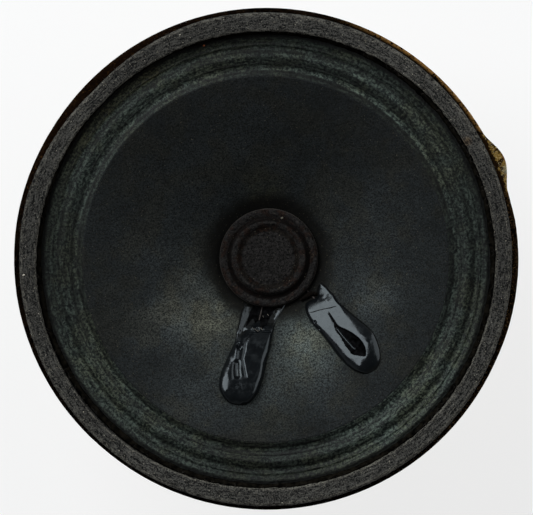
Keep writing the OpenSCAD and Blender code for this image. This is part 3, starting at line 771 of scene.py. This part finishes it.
def make_gasket(material, glue):
    low, top, steps = PAPER_TOP, GASKET_TOP, 1080
    section = [(30.3, low), (31.2, low), (32.1, low), (32.24, low + 0.1), (32.3, low + 0.5),
               (32.31, low + 0.9), (32.28, top - 0.35), (32.2, top - 0.15), (32.05, top - 0.04)]
    section += [(r, top) for r in np.linspace(31.9, 30.25, 14)]
    section += [(30.1, top - 0.03), (30.0, top - 0.12), (29.97, top - 0.25), (30.0, top - 0.5),
                (30.12, low + 0.7), (30.25, low + 0.4), (30.3, low + 0.15)]

    def ragged(radius, height, angle):
        lift = np.clip((height - low) / 0.4, 0, 1)
        nap = ring_field(radius, angle, height, 0.35, 6)
        slow = ring_field(radius, angle, 0 * height, 3.0, 7)
        inner = np.clip((30.6 - radius) / 0.4, 0, 1)
        outer = np.clip((radius - 30.9) / 1.1, 0, 1)
        torn = 0.1 * ring_field(radius, angle, 0 * height, 0.7, 10) + 0.04 * slow
        torn += by_turn(angle, range(0, 360, 45), (0.18, 0.25, -0.17, -0.45, 0.03, 0.42, -0.06, 0.18))
        return (0.06 * nap + torn * inner) * lift + cut_back(angle) * outer, (0.03 * nap - 0.04) * lift
    piece = revolved("felt_gasket", section, material, steps, ragged)
    # lip: 1 at the rounded edges of the top, where the material paints a highlight
    corners = [min(abs(r - 32.02), abs(r - 30.06)) if z > top - 0.3 else 9 for r, z in section]
    mark(piece, "lip", np.repeat([max(0.0, 1 - away / 0.28) for away in corners], steps))
    settle(piece, "chassis", "gasket", "gasket")

    # Black glue bead at the gasket's inner foot: glue, and a dark piece that stands in for the shade in the
    # gap there
    bead = [(30.26, low), (30.24, low + 0.22), (30.1, low + 0.34), (29.85, low + 0.3),
            (29.62, low + 0.16), (29.5, low)]

    def squeezed(radius, height, angle):
        inner = np.clip((30.1 - radius) / 0.4, 0, 1)
        lift = np.clip((height - low) / 0.15, 0, 1)
        wave = 0.12 * ring_field(radius, angle, 0 * height, 0.8, 14)
        wave += 0.1 * ring_field(radius, angle, 0 * height, 4, 15)
        return wave * inner, 0.07 * ring_field(radius, angle, height, 0.5, 16) * lift
    bead = revolved("gasket_glue_and_shade", bead, glue, 720, squeezed)
    settle(bead, "chassis", "adhesive")


def make_rim_shade_band(material):
    """Thick black band over parts of the rim that stands in for shade at its edge; elsewhere it lies within
    the sheet.
    """
    top, out, bend = 28.07, 33.02, 1.0
    section = [(31.4, top)]
    section += [(out - bend + bend * math.sin(t), top - bend + bend * math.cos(t))
                for t in np.linspace(0, math.pi / 2, 9)]
    section += [(out, 26.7), (33.0, 26.3), (32.75, 26.3), (32.6, top - 0.9), (31.4, top - 0.12)]

    # How far the dark band stands out round the rim
    def run(radius, height, angle):
        swell = by_turn(angle, (0, 9, 16, 110, 150, 170, 190, 222, 245, 330, 345),
                        (0.15, 0.1, -0.1, -0.1, 0.05, 0.3, 0.32, 0.09, -0.1, -0.1, 0.1))
        outer = np.clip((radius - 32.0) / 0.8, 0, 1)
        swell = swell + 0.02 * ring_field(radius, angle, height, 0.9, 31)
        return swell * outer, np.minimum(swell * 2, 0) * (1 - outer) * 0.6
    piece = revolved("rim_shade_band", section, material, 720, run)
    settle(piece, "chassis", "frame")


def scatter_fibres(name, count, place, top, material, seed, length, width):
    """Loose hairs on the gasket: short bent tubes at height top, round points given by place(random)."""
    chance = np.random.default_rng(seed)
    paths = []
    for _ in range(count):
        x, y = place(chance)
        way = chance.uniform(0, 2 * math.pi)
        reach = chance.uniform(*length)
        curl = chance.uniform(-1.6, 1.6)
        path = []
        for t in np.linspace(-0.5, 0.5, 6):
            a = way + curl * t
            path.append((x + reach * t * math.cos(a), y + reach * t * math.sin(a),
                         top + width + 0.05 * (0.25 - t * t)))
        paths.append(path)
    settle(tubes_piece(name, paths, width, 3, material), "chassis", "gasket")


def make_spider(material):
    def top(radius):
        s = (radius - NECK_R - 1.1) / (SPIDER_OUT - NECK_R - 2.2)
        return SPIDER_Z - (0.4 * math.sin(6 * math.pi * s) if 0 < s < 1 else 0)
    line = [(r, top(r)) for r in np.linspace(NECK_R, SPIDER_OUT, 110)]
    section = line + [(r, z - 0.3) for r, z in reversed(line)]

    def uneven(radius, height, angle):
        return 0 * radius, 0.015 * ring_field(radius, angle, 0 * height, 1.5, 8)
    piece = revolved("cloth_spider", section, material, 240, uneven)
    bend_radially(piece)
    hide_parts("spider")


def make_winding(material):
    reach, wire, turns = 5.3, 0.2, 19
    path = [(reach * math.cos(a), reach * math.sin(a), 12.75 + (a / 2 / math.pi) * (3.8 / turns))
            for a in np.linspace(0, 2 * math.pi * turns, turns * 48)]
    piece = tubes_piece("voice_coil_turns", [path], wire / 2 - 0.005, 6, material)
    bed = [(5.0, 12.65), (5.27, 12.65), (5.27, 16.65), (5.0, 16.65)]
    inner = revolved("voice_coil_bed", bed, material, 96)
    settle(piece, "cone_assembly", "coil_winding", "coil_winding")
    settle(inner, "cone_assembly", "coil_winding")


def make_leads(look_tinsel, look_wire, look_soaked):
    rise = ((0, 0, 0), (0, 0, 0.8), (0.3, -0.6, 2), (0.8, -1, 3.2), (1.3, -0.4, 4.2), (1.6, 1, 4.7))
    tail = ((1.3, -2.8, -1.7), (0.7, -1.2, -2.1), (0.1, -0.2, -1.5), (0, 0, -0.8), (0, 0, 0))
    arch = ((0, 0.1), (0.25, 0.36), (0.8, 0.42), (1.5, 0.36))
    for name, (side, (hole, way)) in POOLS.items():
        start = np.array((side * TAG_X, SOLDER_Y, SOLDER_Z + 0.7))
        end = np.array(on_cone(hole, -PAPER_T - 0.5))
        route = [start + np.array((side * x, y, z)) for x, y, z in rise]
        route += [end + np.array((side * x, y, z)) for x, y, z in tail]
        path = smooth_path(route, 14)
        lead = tubes_piece("tinsel_" + name, strands(path, 6, 2.2, 0.22), 0.115, 6, look_tinsel)
        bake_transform(lead)
        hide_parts("tinsel_lead_" + name)
        bend = [on_cone(hole + way * d, h) for d, h in arch]
        rest = [on_cone(hole + way * (1.5 + 4.5 * i / 4), 0.26) for i in range(1, 5)]
        path = smooth_path([list(end)] + bend + rest, 10)
        splice = tubes_piece("splice_" + name, strands(path, 6, 2.4, 0.17), 0.09, 6, look_soaked)
        settle(splice, "cone_assembly", "tinsel", "lead_splice_" + name)
    clad(look_wire, "coil_lead_left", "coil_lead_right")


# ---------------------------------------------------------------- adhesive

# Left and right edge points of each pool in plan, from the cap outwards
LEFT_EDGES = [
    [(-4.87, -5.03), (0.35, -6.7)], [(-5.55, -5.84), (-0.39, -7.44)], [(-6.09, -6.9), (-1.38, -8.3)],
    [(-6.73, -8.07), (-2.03, -9.47)], [(-7.24, -9.27), (-2.61, -10.65)],
    [(-8.13, -10.35), (-3.19, -11.82)], [(-9.02, -11.43), (-3.89, -12.96)],
    [(-9.91, -12.51), (-4.41, -14.15)], [(-10.51, -13.68), (-5.06, -15.3)],
    [(-10.78, -14.81), (-5.73, -16.31)], [(-10.57, -15.81), (-6.47, -17.03)],
    [(-10.02, -16.78), (-7.29, -17.52)], [(-9.22, -17.35), (-8.27, -17.63)]]
RIGHT_EDGES = [
    [(5.4, -5.31), (5.87, -5.16)], [(4.9, -5.99), (6.34, -5.77)], [(4.7, -6.71), (6.7, -6.48)],
    [(3.21, -7.09), (7.04, -7.05)], [(2.83, -7.7), (7.22, -7.64)], [(2.8, -8.61), (7.42, -8.17)],
    [(3.1, -9.84), (7.87, -8.84)], [(3.69, -11.01), (8.46, -9.71)], [(4.36, -12.41), (9.21, -10.76)],
    [(4.9, -13.7), (10.06, -11.94)], [(5.4, -14.91), (10.76, -13.14)], [(6.09, -16.17), (11.04, -14.57)],
    [(6.84, -17.18), (11.0, -15.9)], [(7.63, -17.82), (10.68, -17.02)], [(8.49, -18.17), (10.13, -17.75)],
    [(9.11, -18.18), (9.59, -18.04)]]
# Raised and sunk lines in the adhesive: kind, points in plan, width, height; a cleft falls slowly
# to a steep right wall
LEFT_MARKS = [
    ("round", [(-4.87, -5.09), (-5.22, -5.93), (-5.63, -6.76), (-6.4, -8.1)], 0.32, 0.18),
    ("round", [(0.2, -6.8), (-0.5, -7.5), (-1.2, -8.1), (-1.9, -9.3)], 0.22, 0.1),
    ("round", [(-6.0, -8.4), (-6.9, -9.8)], 0.45, -0.25),
    ("sharp", [(-4.41, -8.47), (-5.1, -9.07), (-5.87, -9.92), (-6.25, -10.88), (-6.76, -11.8),
     (-6.91, -14.2)], 0.2, -0.06),
    ("round", [(-6.48, -10.2), (-6.5, -10.32)], 0.24, 0.2),
    ("sharp", [(-6.9, -9.9), (-6.95, -10.2)], 0.3, -0.3),
    ("round", [(-7.1, -9.73), (-7.38, -10.59), (-7.7, -11.4)], 0.3, 0.12),
    ("round", [(-7.75, -12.2), (-7.95, -12.9), (-8.05, -13.7)], 0.36, -0.42),
    ("round", [(-4.45, -8.35), (-4.2, -8.5)], 0.28, 0.1),
    ("round", [(-3.5, -8.6), (-3.3, -8.75)], 0.25, 0.1),
    ("sharp", [(-4.0, -8.7), (-4.0, -8.8)], 0.3, -0.3)]
RIGHT_MARKS = [
    ("cleft", [(5.65, -8.87), (6.12, -10.22), (6.53, -11.27), (7.42, -12.05), (8.18, -12.8),
     (8.87, -13.79), (9.15, -14.9), (8.9, -16.1)], 2.2, -0.5),
    ("round", [(6.32, -11.5), (7.0, -13.02), (7.81, -14.6)], 0.13, 0.16),
    ("round", [(5.81, -7.29), (6.19, -8.48), (6.95, -9.76)], 0.35, -0.08),
    ("sharp", [(3.69, -9.84), (3.72, -9.9)], 0.2, -0.2),
    ("sharp", [(4.02, -10.94), (4.05, -11.0)], 0.15, -0.15)]


def ease(value, low, high):
    """Smooth step from 0 at low to 1 at high."""
    t = np.clip((value - low) / (high - low), 0, 1)
    return t * t * (3 - 2 * t)


def distance_to(points, line):
    """Distance in plan from each point to the polyline."""
    best = np.full(points.shape[:-1], 1e9)
    for a, b in zip(line, line[1:]):
        d = b - a
        t = np.clip(((points - a) @ d) / (d @ d), 0, 1)
        best = np.minimum(best, np.linalg.norm(points - a - t[..., None] * d, axis=-1))
    return best


def cleft(points, line, width):
    """Groove along the line with a steep wall on its right and a floor that rises to its left."""
    length = np.concatenate([[0], np.cumsum(np.linalg.norm(np.diff(line, axis=0), axis=1))])
    best = np.full(points.shape[:-1], 1e9)
    run, beside = 0 * best, 0 * best
    for i, (a, b) in enumerate(zip(line, line[1:])):
        d = (b - a) / np.linalg.norm(b - a)
        t = np.clip((points - a) @ d, 0, length[i + 1] - length[i])
        away = points - a - t[..., None] * d
        gap = np.linalg.norm(away, axis=-1)
        nearer = gap < best
        run = np.where(nearer, (length[i] + t) / length[-1], run)
        beside = np.where(nearer, gap * np.sign(d[0] * away[..., 1] - d[1] * away[..., 0]), beside)
        best = np.minimum(best, gap)
    share = 0.08 + 0.92 * ease(run, 0.08, 0.66)
    shape = np.where(beside < 0, 1 + beside / (width * share), 1 - beside / 0.14)
    return np.clip(shape, 0, 1) * np.maximum(share, 0.25) * ease(run, 0, 0.08) * (1 - ease(run, 0.9, 1.0))


def bulge(away, shoulder):
    """Share of the full height at a distance from the edge: a quarter circle as wide as the shoulder."""
    return np.sqrt(np.clip(1 - (1 - np.clip(away / shoulder, 0, 1)) ** 2, 0, 1))


def make_pool(name, pairs, height, crown, marks, dried, looks):
    """Pool of adhesive between paired edge points; height gives its thickness and both shoulders along it,
    crown how much lower it lies at its sides and dried where its skin is matt."""
    rows, columns = 260, 120
    left = smooth_path([p[0] for p in pairs], 26)
    right = smooth_path([p[1] for p in pairs], 26)
    pick = np.linspace(0, len(left) - 1, rows).round().astype(int)
    left, right = left[pick], right[pick]
    even = np.linspace(0, 1, columns)
    share = 0.25 * even + 0.375 * (1 - np.cos(math.pi * even))
    plan = left[:, None] + (right - left)[:, None] * share[None, :, None]
    along = np.linspace(0, 1, rows)[:, None]
    full, shoulder_left, shoulder_right = height(along, share[None, :])
    end = distance_to(plan, np.array([left[-1], right[-1]]))
    rise = full * bulge(distance_to(plan, left), shoulder_left)
    rise = rise * bulge(distance_to(plan, right), shoulder_right)
    rise = rise * bulge(end, 2.6) * (1 - crown * (2 * share[None, :] - 1) ** 2)
    inside = distance_to(plan, np.vstack([left, right[::-1]]))
    soft = np.clip(inside / 0.3, 0, 1)
    sunk = 0 * rise
    for kind, line, width, lift in marks:
        if kind == "cleft":
            shape = sunk = cleft(plan, smooth_path(line, 6), width)
        else:
            near = distance_to(plan, np.array(line, float)) / width
            shape = np.exp(-near ** 2) if kind == "round" else np.clip(1 - near, 0, 1)
            sunk = np.where(shape * lift > 0.08, 0, sunk)
        rise = rise + lift * soft * shape
    seed = 11 if name.endswith("left") else 12
    flat = np.concatenate([plan, 0 * plan[..., :1]], -1)
    rise = rise + (0.08 * field(flat, 2.0, seed) + 0.01 * field(flat, 0.5, seed + 2)) * soft
    base = cone_z(np.hypot(plan[..., 0], plan[..., 1]))
    top = np.concatenate([plan, (base + np.maximum(rise, 0.01))[..., None]], -1)
    under = np.concatenate([plan, (base - 0.02)[..., None]], -1)
    size = rows * columns
    faces = []
    for i in range(rows - 1):
        for k in range(columns - 1):
            a = i * columns + k
            faces.append((a, a + columns, a + columns + 1, a + 1))
            faces.append((size + a, size + a + 1, size + a + columns + 1, size + a + columns))
    ring = list(range(columns)) + [i * columns + columns - 1 for i in range(1, rows)]
    ring += [(rows - 1) * columns + k for k in range(columns - 2, -1, -1)]
    ring += [i * columns for i in range(rows - 2, 0, -1)]
    for a, b in zip(ring, ring[1:] + ring[:1]):
        faces.append((a, b, size + b, size + a))
    piece = mesh_piece(name, np.vstack([top.reshape(-1, 3), under.reshape(-1, 3)]), faces, looks[0])
    mark(piece, "thickness", np.tile(rise.ravel(), 2))
    piece.data.materials.append(looks[1])
    matt = np.tile(dried(along + 0 * share, share + 0 * along, sunk).ravel(), 2)
    for face in piece.data.polygons:
        face.material_index = int(all(matt[v] for v in face.vertices))
    settle(piece, "cone_assembly", "adhesive", "lead_adhesive_" + name.rsplit("_", 1)[1])


def left_height(along, across):
    front = along - 0.16 * np.clip(0.55 - across, 0, 1) - 0.05 * np.clip(across - 0.6, 0, 1)
    full = 0.16 + 0.8 * ease(front, 0.13, 0.32) + 0.3 * ease(along, 0.45, 0.7)
    return full, 0.35 + 0.95 * ease(along, 0.2, 0.5), 0.35 + 0.35 * ease(along, 0.2, 0.45)


def left_dried(along, across, sunk):
    edge = 0.03 * np.sin(9 * across + 1) + 0.02 * np.sin(31 * across)
    return (along < 0.2 + edge) & (across > 0.2 + edge) & (across < 0.78 + edge)


def right_dried(along, across, sunk):
    return sunk > 0.1


def right_height(along, across):
    full = 0.42 + 0.4 * ease(along, 0.1, 0.32) + 0.25 * along + 0 * across
    return full, 0.45 + 0.6 * ease(along, 0.28, 0.68), 0.3 + 1.9 * ease(along, 0.36, 0.68)


# Stray crumbs: name, body, slot, place, size, colour
CRUMBS = [
    ("crumb_cap", "cone_assembly", "dust_cap", 3.25, 4.6, 21.28, 0.17, "dull"),
    ("crumb_left", "chassis", "gasket", -30.9, 7.0, 29.97, 0.16, "pale"),
    ("crumb_top", "chassis", "gasket", -2.2, 31.3, 29.97, 0.12, "pale"),
    ("crumb_top_orange", "chassis", "surround", 0.31, 29.14, 28.5, 0.14, "orange")]


def make_details(felt_fibre, dark_fibre, wire, brown, pale, orange):
    """Loose fibres on the felt, a hair across the adhesive, bare wire tips, a lump of glue and crumbs."""
    def on_felt(chance):
        a, r = chance.uniform(0, 2 * math.pi), chance.uniform(30.2, 32.0)
        r += cut_back(a) * (r - 30.2) / 1.8
        return r * math.cos(a), r * math.sin(a)

    def at_edge(chance):
        a, r = chance.uniform(0, 2 * math.pi), chance.choice((29.95, 32.25)) + chance.normal(0, 0.06)
        r += cut_back(a) * (r > 31)
        return r * math.cos(a), r * math.sin(a)
    scatter_fibres("felt_fibres", 260, on_felt, GASKET_TOP - 0.04, felt_fibre, 21, (0.2, 0.6), 0.014)
    scatter_fibres("edge_fibres", 300, at_edge, GASKET_TOP - 0.12, dark_fibre, 22, (0.25, 0.7), 0.025)

    hair = smooth_path([on_cone(q, h) for q, h in (
        ((3.0, -8.42), 0.55), ((3.6, -8.5), 0.86), ((4.49, -8.49), 0.96), ((5.73, -8.56), 0.97),
        ((6.9, -8.62), 0.8), ((7.6, -8.72), 0.3), ((8.19, -8.82), 0.1))], 8)
    settle(tubes_piece("stray_hair", [hair], 0.035, 6, dark_fibre), "cone_assembly", "adhesive")

    tips = []
    for line, lift in ((((-4.6, -8.2), (-4.35, -8.6)), 0.9),
                       (((-4.3, -8.45), (-4.0, -8.9), (-3.7, -8.85)), 0.98),
                       (((-3.75, -8.45), (-3.45, -8.7), (-3.35, -9.0)), 0.98),
                       (((-2.9, -7.15), (-2.85, -7.4)), 0.36), (((-2.25, -7.15), (-2.15, -7.4)), 0.34)):
        tips.append(smooth_path([on_cone(q, lift) for q in line], 5))
    settle(tubes_piece("wire_tips", tips, 0.036, 8, wire), "cone_assembly", "tinsel")

    route = (2.5, -6.6), (3.14, -6.45), (3.88, -6.25), (4.43, -6.25), (4.8, -6.5)
    line = smooth_path([on_cone(q, 0.3) for q in route], 8)
    swell = 0.18 + 0.16 * np.sin(np.linspace(0, math.pi, len(line)))
    swell = swell + 0.05 * np.sin(np.arange(len(line)) * 1.3)
    settle(tubes_piece("glue_lump", [line], swell, 16, brown), "cone_assembly", "adhesive")

    for name, body, slot_name, x, y, z, size, material in CRUMBS:
        line = [(x - size, y, z), (x - 0.5 * size, y, z + 0.2 * size),
                (x + 0.6 * size, y + 0.3 * size, z), (x + size, y, z)]
        look = {"pale": pale, "orange": orange, "dull": felt_fibre}[material]
        piece = tubes_piece(name, [line], [0.2 * size, 0.8 * size, 0.7 * size, 0.2 * size], 7, look)
        settle(piece, body, slot_name)


# ---------------------------------------------------------------- everything together

def clad(material, *nodes):
    """Gives its material to CAD nodes that show as they are."""
    for node in nodes:
        slots = NODES[node].data.materials
        slots.clear()
        slots.append(material)


def make_solder(material):
    shape = [(0, 0), (0.95, 0), (0.93, 0.1), (0.8, 0.36), (0.6, 0.56), (0.44, 0.68), (0.36, 0.7), (0, 0.7)]
    for side in (-1, 1):
        drop = revolved("solder_drop_" + ("left" if side < 0 else "right"), shape, material, 40,
                        lambda r, h, a: (0.04 * ring_field(r, a, h, 0.6, 9) * np.clip(r, 0, 1), 0 * h))
        drop.data.transform(Matrix.Translation((side * TAG_X * MM, SOLDER_Y * MM, SOLDER_Z * MM)))
        settle(drop, "chassis", "solder")
    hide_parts("tag_solder")


def build():
    paper, dope = paper_look(), surround_look()
    felt, cap_felt, glue = felt_look(), cap_look(), adhesive_look()
    steel = steel_look("zinc_steel", rgb(150, 150, 148), rgb(196, 196, 192), 0.6)
    plate = plating_look()
    tin = steel_look("tinned_brass", rgb(176, 168, 140), rgb(214, 208, 188), 0.2)
    brass = steel_look("eyelet_brass", rgb(178, 138, 70), rgb(214, 178, 104))
    solder = steel_look("solder_alloy", rgb(168, 168, 170), rgb(212, 212, 214))
    tinsel = wire_look("tinsel_copper", rgb(150, 84, 50), rgb(214, 142, 96), 0.3)
    enamel = wire_look("enamelled_wire", rgb(120, 50, 24), rgb(176, 88, 44), 0.25)
    clad(plate, "frame")
    clad(steel, "top_plate", "pole_piece", "yoke", "board_rivet")
    clad(magnet_look(), "magnet")
    clad(board_look(), "terminal_board")
    clad(tin, "terminal_tag_left", "terminal_tag_right")
    clad(brass, "tag_eyelets")
    clad(former_look(), "coil_former")
    clad(bead_look("neck_bead", rgb(20, 16, 12), rgb(38, 30, 22)), "neck_adhesive")
    clad(bead_look("spider_bead", rgb(92, 52, 18), rgb(140, 86, 36), 0.2), "spider_adhesive")

    make_cone(paper)
    make_surround(dope)
    make_cap(cap_felt)
    make_gasket(felt, bead_look("gasket_glue_and_shade", rgb(2, 2, 2), rgb(22, 20, 16), 0.7, 0.0))
    make_rim_shade_band(plate)
    make_spider(cloth_look())
    make_winding(enamel)
    make_leads(tinsel, bead_look("varnished_wire", rgb(12, 8, 6), rgb(34, 22, 16)),
               bead_look("soaked_tinsel", rgb(16, 13, 11), rgb(48, 42, 38)))
    make_solder(solder)
    matt_glue = bead_look("matt_adhesive", rgb(1, 1, 1), rgb(15, 15, 16), 0.6, 0.0)
    make_pool("adhesive_left", LEFT_EDGES, left_height, 0.1, LEFT_MARKS, left_dried, (glue, matt_glue))
    make_pool("adhesive_right", RIGHT_EDGES, right_height, 0.3, RIGHT_MARKS, right_dried, (glue, matt_glue))
    make_details(fibre_look("felt_fibre", rgb(50, 48, 44), rgb(140, 134, 120)),
                 fibre_look("dark_fibre", rgb(10, 9, 8), rgb(46, 42, 38)),
                 wire_look("bare_tips", rgb(70, 66, 60), rgb(124, 120, 112), 0.35),
                 bead_look("brown_lump", rgb(1, 1, 1), rgb(12, 8, 6), 0.7, 0.05),
                 bead_look("pale_crumb", rgb(130, 124, 112), rgb(196, 190, 176), 0.5),
                 bead_look("orange_crumb", rgb(150, 70, 24), rgb(206, 112, 50), 0.5))


def make_lamp(name, azimuth, rise, size, energy):
    """Square soft lamp 0.6 m from the paper; azimuth is anticlockwise from the picture's right."""
    light = bpy.data.lights.new(name, "AREA")
    light.shape = "SQUARE"
    light.size = size
    light.energy = energy
    light.color = (0.95, 0.98, 1.0)
    lamp = bpy.data.objects.new(name, light)
    bpy.context.scene.collection.objects.link(lamp)
    azimuth, rise = photo_angle(azimuth), math.radians(rise)
    way = Vector((math.cos(azimuth) * math.cos(rise), math.sin(azimuth) * math.cos(rise), math.sin(rise)))
    lamp.location = way * 0.6 + Vector((0, 0, 0.025))
    lamp.rotation_mode = "QUATERNION"
    lamp.rotation_quaternion = way.to_track_quat("Z", "Y")


def make_light():
    make_lamp("key", 133, 38, 0.5, 4.3)
    make_lamp("fill", 38, 27, 0.6, 2.0)

    world = bpy.data.worlds.new("studio")
    bpy.context.scene.world = world
    world.use_nodes = True
    tree = world.node_tree
    sky = tree.nodes["Background"]
    way = add_node(tree, "SeparateXYZ", add_node(tree, "TexCoord").outputs["Generated"])
    fade = add_node(tree, "MapRange", way.outputs["Z"], 0.0, 0.6, 0.45, 0.08)
    tree.links.new(fade.outputs[0], sky.inputs["Strength"])
    sky.inputs["Color"].default_value = (0.97, 0.985, 1.0, 1.0)


def make_floor():
    """White floor; the camera and mirrors see it partly glowing, so that it stays evenly bright."""
    bpy.ops.mesh.primitive_plane_add(size=6, location=(0, 0, -0.02 * MM))
    floor = bpy.context.object
    floor.name = "floor"
    material = bpy.data.materials.new("white_floor")
    material.use_nodes = True
    tree = material.node_tree
    tree.nodes.clear()
    matt = add_node(tree, "BsdfDiffuse", (0.85, 0.85, 0.85, 1))
    glow = add_node(tree, "Emission", (1, 1, 1, 1), 1.0)
    ray = add_node(tree, "LightPath").outputs
    glass = add_node(tree, "Math", ray["Is Glossy Ray"], ray["Is Transmission Ray"], operation="MAXIMUM")
    seen = add_node(tree, "Math", ray["Is Camera Ray"], glass.outputs[0], operation="MAXIMUM")
    share = add_node(tree, "Math", seen.outputs[0], 0.75, operation="MULTIPLY")
    mix = add_node(tree, "MixShader", share.outputs[0], matt.outputs[0], glow.outputs[0])
    add_node(tree, "OutputMaterial", mix.outputs[0])
    floor.data.materials.append(material)


make_camera()
build()
make_light()
make_floor()
bpy.context.scene.view_settings.view_transform = "Standard"
